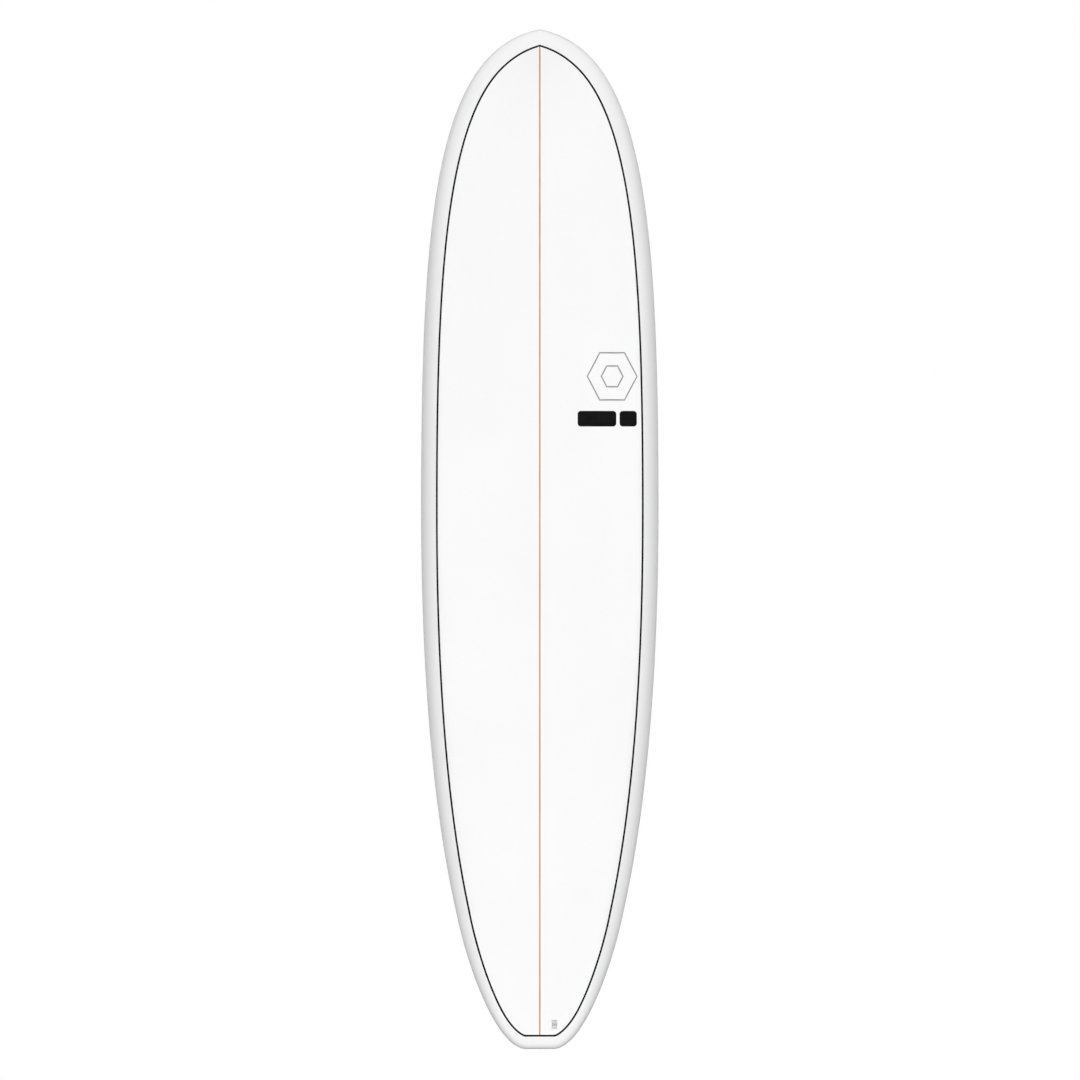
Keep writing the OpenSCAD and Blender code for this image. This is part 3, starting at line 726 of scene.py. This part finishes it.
def bezier(points, t):
    p0, p1, p2, p3 = np.asarray(points, float)
    t = t[:, None]
    return (1 - t) ** 3 * p0 + 3 * (1 - t) ** 2 * t * p1 + 3 * (1 - t) * t ** 2 * p2 + t ** 3 * p3


def blade(name, place, lead, trail, base, height, thick, right=1.0, left=1.0, lean=0.0, chords=22,
          spans=46):
    """A fin's blade between a leading and a trailing curve, with a round tip and its foot in the slot."""
    t = 1 - (1 - np.linspace(0, 1, spans)) ** span_power
    a = bezier(np.array(lead) * [base / 2, height], t)
    b = bezier(np.array(trail) * [base / 2, height], t)
    tip = np.sqrt(np.maximum(0, 1 - (np.maximum(0, t - tip_start) / (1 - tip_start)) ** 2))
    heart = mix(a, b, heart_share)
    a = mix(heart, a, tip[:, None])
    b = mix(heart, b, tip[:, None])
    c = (1 - np.cos(np.linspace(0, math.pi, chords + 1))) / 2
    rings = []
    for i in range(spans):
        half = thick / 2 * mix(1, tip_thin, t[i]) * mix(tip_least, 1, tip[i])
        section = mix(a[i], b[i], c[:, None])
        body = (half * foil(c) + tail_edge * c) * (tip[i] if i == spans - 1 else 1)
        x = np.concatenate([body * right, -(body * left)[-1:0:-1]])
        zy = np.concatenate([section, section[-1:0:-1]])
        rings.append(np.stack([x + zy[:, 1] * lean, zy[:, 1], zy[:, 0]], 1))
    foot = rings[0] - [0, blade_sink, 0]
    rings = np.concatenate([[foot], rings])
    return make_object(name, placed(rings.reshape(-1, 3), place), loft_faces(len(rings), rings.shape[1]))


center_fin = blade("center_fin", CENTER, FIN_LEAD, FIN_TRAIL, fin_base, fin_h, fin_t)
combine(center_fin, [
    bevel(prism("tab", rounded_rect(tab_w, fin_base, 1.5), -tab_d, -tab_sink, CENTER), 0.5),
    bevel(prism("tongue", rounded_rect(tab_w, tongue_l + tongue_root, 3), -tongue_low, -tongue_top, CENTER,
                shift=(0, screw_z - tongue_root / 2)), 0.4)], "UNION")
combine(center_fin, [
    prism("pin_hole", circle(pin_d / 2), -tab_w, tab_w, CENTER, axes=(1, 2, 0),
          shift=(-pin_depth, pin_back - fin_base / 2)),
    prism("screw_hole", circle(screw_hole_d / 2), -20, 2, CENTER, shift=(0, screw_z))])

# ---------------------------------------------------------------- side fins and their boxes
side_z = 418
side_x = 160
toe_in = math.radians(3)
cant = math.radians(5)
side_w = 17
side_l = 136
side_d = 18
side_slot_w = 7.6
side_slot_d = 13.4
side_tab_w = 7.4
side_tab_d = 13
side_fin_base = 104
side_fin_h = 88
side_fin_t = 6.2
toe_l = 11
toe_root = 4
toe_play = 1
toe_top = 9
toe_gap = 0.2
tab_play = 0.4
grub_hole_d = 5.12
grub_z = side_fin_base / 2 + toe_l / 2
side_corner = side_w * 0.45
side_cap_half = 24
side_cap_share = 0.65
side_skin_cut = 8
inner_share = 0.25
outer_share = 1.6
SIDE_LEAD = ((1, 0), (0.72, 0.40), (-0.05, 0.96), (-0.98, 1))
SIDE_TRAIL = ((-1, 0), (-0.85, 0.28), (-0.80, 0.70), (-1.12, 0.97))
SIDES = {"left": -1, "right": 1}
side_boxes = {}
side_fins = {}
for side, way in SIDES.items():
    place = on_bottom(way * side_x, side_z, -way * toe_in)
    side_boxes[side] = fin_box(
        side + "_fin_box", place, side_w, side_l, side_d, side_corner,
        cap_over(side_cap_half, side_l * side_cap_share, way * side_x, side_z, rows=14),
        [prism("slot", rounded_rect(side_slot_w, side_fin_base + tab_play, 1.5), -side_slot_d, above + 1,
               place),
         prism("toe", rounded_rect(side_slot_w, toe_l + toe_play, 1.5), -side_slot_d, toe_gap - toe_top,
               place, shift=(0, grub_z)),
         prism("grub_hole", circle(grub_hole_d / 2), -toe_top - toe_play, above + 1, place,
               shift=(0, grub_z))])
    right, left = (outer_share, inner_share) if way > 0 else (inner_share, outer_share)
    fin = blade(side + "_fin", place, SIDE_LEAD, SIDE_TRAIL, side_fin_base, side_fin_h, side_fin_t,
                right=right, left=left, lean=way * math.tan(cant), chords=18, spans=34)
    side_tab = rounded_rect(side_tab_w, side_fin_base, 1.2)
    combine(fin, [
        bevel(prism("tab", side_tab, -side_tab_d, -tab_sink, place), 0.4),
        prism("toe", rounded_rect(side_tab_w, toe_l + toe_root, 1.2), -side_tab_d, -toe_top - toe_gap,
              place, shift=(0, grub_z - toe_root / 2))], "UNION")
    side_fins[side] = fin

# ---------------------------------------------------------------- leash plug
plug_x = 35.6
plug_z = 59.5
plug_flange = 28
plug_cup = 25
plug_d = 15
plug_w = 12.6
plug_l = 21
plug_corner = 2.5
plug_floor = 2.5
plug_bar_depth = 3
flange_t = 1.6
flange_edge = 0.7
cup_edge = 1
well_rim = 0.4
bar_d = 3.2
bar_l = 18
PLUG = on_deck(plug_x, plug_z)
flange_round = [(plug_flange / 2 - flange_edge + flange_edge * math.sin(a),
                 -flange_edge + flange_edge * math.cos(a))
                for a in np.linspace(0, math.pi / 2, 6)]
leash_plug = lathe("leash_plug", [
    (0, 0), *flange_round, (plug_flange / 2, -flange_t), (plug_cup / 2, -flange_t),
    (plug_cup / 2, cup_edge - plug_d), (plug_cup / 2 - cup_edge, -plug_d), (0, -plug_d)], PLUG)
combine(leash_plug, [
    prism("well", rounded_rect(plug_w, plug_l, plug_corner), plug_floor - plug_d, 2, PLUG, axes=(0, 1, 2)),
    prism("bar_hole", circle(bar_d / 2, 32), -bar_l / 2, bar_l / 2, PLUG, axes=(1, 2, 0),
          shift=(0, -plug_bar_depth))])
bevel(leash_plug, 0.3)

# ---------------------------------------------------------------- holes in the skins and the stringer
combine(rail_skin, [skin_hole(CENTER, box_w, box_l, box_corner, skin_cut)] + [
    skin_hole(on_bottom(way * side_x, side_z, -way * toe_in), side_w, side_l, side_corner, side_skin_cut)
    for way in SIDES.values()])
combine(deck_right, [prism("hole", circle(plug_flange / 2 + seam, 64), -above, above, PLUG,
                           axes=(0, 1, 2))])
combine(stringer, [prism("pocket", rounded_rect(box_w + 2 * around, box_l + 2 * around, 0.5),
                         -box_d - under, pocket_top, CENTER)])

# ---------------------------------------------------------------- plain printed marks on the deck
ink_t = 0.12
ink_proud = 0.06
mark_step = 4
mark_center = np.array([176, 1636])
mark_line = 3.0
bar_low = 1514
bar_high = 1552
bar_corner = 8


def print_on_deck(name, columns, material):
    """A film that lies on the deck: columns of (x, z) points, all equally long."""
    columns = np.asarray(columns, float)
    flat = columns.reshape(-1, 2)
    y = surface_y(flat[:, 0], flat[:, 1], True)
    points = np.stack([flat[:, 0], y - ink_proud, flat[:, 1]], 1)
    film = face_outwards(make_object(name, points, grid_faces(*columns.shape[:2])), TO_DECK)
    return dress(thicken(film, ink_t), None, material=material)


def polygon_ring(name, center, width, height, line, material, corners=6):
    """An outline of straight lines between corners on an ellipse."""
    columns = []
    for k in range(corners):
        a0, a1 = (2 * math.pi * (k + s + 0.5) / corners for s in (0, 1))
        ends = [np.array([math.sin(a), math.cos(a)]) * [width / 2, height / 2] for a in (a0, a1)]
        steps = max(2, int(np.linalg.norm(ends[1] - ends[0]) / mark_step))
        for t in np.arange(steps) / steps:
            p = mix(ends[0], ends[1], t)
            inner = 1 - line / np.hypot(*(p / [width / 2, height / 2])) / (width / 2)
            columns.append([center + p * mix(1, inner, s) for s in (0, 1)])
    columns.append(columns[0])
    return print_on_deck(name, columns, material)


def bar(name, x0, x1, z0, z1, radius, material):
    """A bar with round corners."""
    count = int((x1 - x0 - 2 * radius) / mark_step)
    xs = np.concatenate([x0 + radius * arc_steps(6), np.linspace(x0 + radius, x1 - radius, count)[1:-1],
                         (x1 - radius * arc_steps(6))[::-1]])
    columns = []
    for x in xs:
        over = max(0, x0 + radius - x, x - (x1 - radius))
        half = (z1 - z0) / 2 - radius + math.sqrt(max(0, radius ** 2 - over ** 2))
        columns.append([(x, (z0 + z1) / 2 + half * v) for v in np.linspace(-1, 1, 9)])
    return print_on_deck(name, columns, material)


polygon_ring("mark_outline_large", mark_center, 124, 136, mark_line, INK_GREY)
polygon_ring("mark_outline_small", mark_center, 56, 62, mark_line, INK_GREY)
bar("mark_bar_long", 92, 186, bar_low, bar_high, bar_corner, INK_BLACK)
bar("mark_bar_short", 194, 236, bar_low, bar_high, bar_corner, INK_BLACK)

# ---------------------------------------------------------------- what each piece stands for
dress(rail_skin, "rail_gloss", "rail_bottom_skin")
dress(deck_left, "deck_gloss", "deck_skin_left")
dress(deck_right, "deck_gloss", "deck_skin_right")
dress(pinline, "pinline_resin", "pinline")
dress(stringer, "wood", "stringer")
dress(center_box, "box_plastic", "center_fin_box")
dress(center_fin, "fin_composite", "center_fin", body="fin_slider")
for side in SIDES:
    dress(side_boxes[side], "box_plastic", side + "_fin_box")
    dress(side_fins[side], "fin_composite", side + "_fin")
dress(leash_plug, "plug_plastic", "leash_plug")
# The well of the leash plug gets a grey of painted shade, for the shade in the recess
paint_well_shade(leash_plug, PLUG, well_rim, CUP_PAINTED_SHADE)

slots = {part["node"]: part["material_slot"] for part in frame["record"]["subparts"]}
for name, obj in frame["nodes"].items():
    if not obj.hide_render:
        obj.data.materials.clear()
        obj.data.materials.append(FINISH[slots[name]])

# ---------------------------------------------------------------- studio
BACKDROP = {"seen": 1.0, "mirrored": 0.4, "ambient": 0.02}
world = bpy.data.worlds.new("studio")
scene.world = world
world.use_nodes = True
world.node_tree.nodes.clear()


def backdrop(kind):
    """A plain white background of one strength."""
    made = world.node_tree.nodes.new("ShaderNodeBackground")
    made.inputs["Color"].default_value = tone(1.0)
    made.inputs["Strength"].default_value = BACKDROP[kind]
    return made.outputs[0]


def chosen_by(ray, otherwise, then):
    """One background for this kind of ray, another for the rest."""
    made = world.node_tree.nodes.new("ShaderNodeMixShader")
    path = world.node_tree.nodes.new("ShaderNodeLightPath")
    world.node_tree.links.new(path.outputs[ray], made.inputs[0])
    world.node_tree.links.new(otherwise, made.inputs[1])
    world.node_tree.links.new(then, made.inputs[2])
    return made.outputs[0]


lit = chosen_by("Is Glossy Ray", backdrop("ambient"), backdrop("mirrored"))
output = world.node_tree.nodes.new("ShaderNodeOutputWorld")
world.node_tree.links.new(chosen_by("Is Camera Ray", lit, backdrop("seen")), output.inputs["Surface"])


def sun(name, azimuth, elevation, strength, angle):
    """Soft light from a side: azimuth 0 is the deck side, 90 the right, 180 the bottom."""
    a, e = math.radians(azimuth), math.radians(elevation)
    lamp = bpy.data.lights.new(name, "SUN")
    lamp.energy = strength
    lamp.angle = math.radians(angle)
    obj = bpy.data.objects.new(name, lamp)
    towards = Vector((math.sin(a) * math.cos(e), -math.cos(a) * math.cos(e), math.sin(e)))
    obj.rotation_mode = "QUATERNION"
    obj.rotation_quaternion = towards.to_track_quat("Z", "Y")
    obj.visible_glossy = False
    scene.collection.objects.link(obj)


sun("front_light", 0, 0, 3.07, 30)
sun("top_light", 0, 75, 0.75, 60)
sun("back_light_left", -137, 8, 2.1, 30)
sun("back_light_right", 137, 8, 2.1, 30)

floor_mesh = bpy.data.meshes.new("floor")
floor_half = 12
floor_mesh.from_pydata([(-floor_half, -floor_half, 0), (floor_half, -floor_half, 0),
                        (floor_half, floor_half, 0), (-floor_half, floor_half, 0)], [], [(0, 1, 2, 3)])
floor = bpy.data.objects.new("floor", floor_mesh)
floor.data.materials.append(finish_of("floor_pale", (tone(0.42), tone(0.40)), 2, (0.7, 0.9), 4, 40, 0.0001,
                                     Emission_Color=tone(1.0), Emission_Strength=0.8))
floor.visible_diffuse = False
floor.visible_glossy = False
floor.visible_shadow = False
scene.collection.objects.link(floor)

view_share = 1.0592
view_away = 5
view_right = 0.0005
view_down = 0.002
camera = bpy.data.objects.new("camera", bpy.data.cameras.new("camera"))
camera.data.type = "ORTHO"
camera.data.ortho_scale = board_l * MM * view_share
camera.location = (view_right, -view_away, board_l * MM / 2 - view_down)
camera.rotation_euler = (math.radians(90), 0, 0)
scene.collection.objects.link(camera)
scene.camera = camera
scene.view_settings.view_transform = "Standard"
